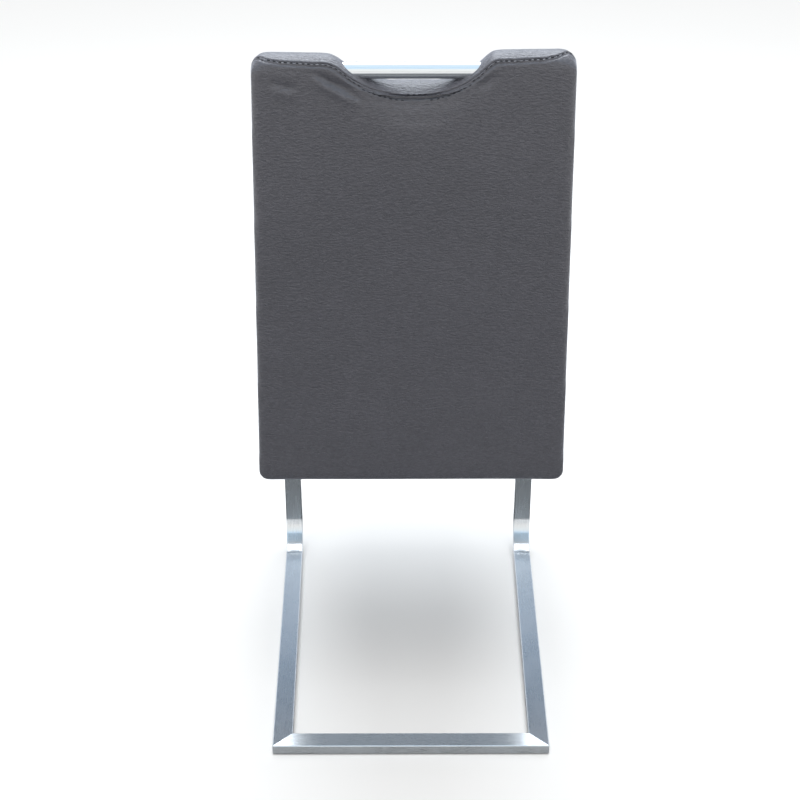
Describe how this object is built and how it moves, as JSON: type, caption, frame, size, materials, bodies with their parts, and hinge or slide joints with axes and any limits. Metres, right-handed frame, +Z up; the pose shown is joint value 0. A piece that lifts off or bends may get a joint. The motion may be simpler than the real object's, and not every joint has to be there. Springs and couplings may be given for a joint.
{
  "type": "cantilever dining chair",
  "caption": "Padded dining chair with a high back, a steel hand grip in a scoop at its top, and a springing cantilever loop of flat steel tube.",
  "frame": {"origin": "on the floor under the middle of the chair's width and depth", "axes": "+Z up, the sitter faces -Y, +X to the sitter's left"},
  "size_m": [0.4598, 0.6109, 1.0509],
  "materials": {
    "frame_steel": "brushed stainless flat tube",
    "grip_steel": "fine brushed stainless round tube",
    "bolt_steel": "zinc plated",
    "inner_steel": "black primer",
    "black_plastic": "moulded polyethylene",
    "plywood": "raw plywood",
    "batten_wood": "raw beech",
    "foam": "upholstery foam",
    "cover": "anthracite synthetic leather, fine grain, matt",
    "underlining": "black spunbond cloth"
  },
  "bodies": {
    "root": {"floor_crossbar": "frame_steel", "side_frame_left": "frame_steel", "side_frame_right": "frame_steel", "seat_crossbar_front": "frame_steel", "seat_crossbar_rear": "frame_steel", "rail_end_caps": "black_plastic", "floor_glides": "black_plastic", "seat_bolts": "bolt_steel", "seat_rivet_nuts": "bolt_steel", "inner_tube_left": "inner_steel", "inner_tube_right": "inner_steel", "back_bar_lower": "inner_steel", "back_bar_upper": "inner_steel", "seat_side_batten_left": "batten_wood", "seat_side_batten_right": "batten_wood", "seat_front_batten": "batten_wood", "seat_rear_batten": "batten_wood", "seat_board": "plywood", "seat_foam": "foam", "seat_cover_top": "cover", "seat_cover_border": "cover", "seat_underlining": "underlining", "back_board": "plywood", "back_foam_rear": "foam", "back_foam_front": "foam", "back_head_wadding": "foam", "back_head_foam": "foam", "back_cover_rear": "cover", "back_cover_front": "cover", "back_cover_band": "cover", "grip_tube": "grip_steel", "grip_spigots": "inner_steel"}
  },
  "joints": []
}
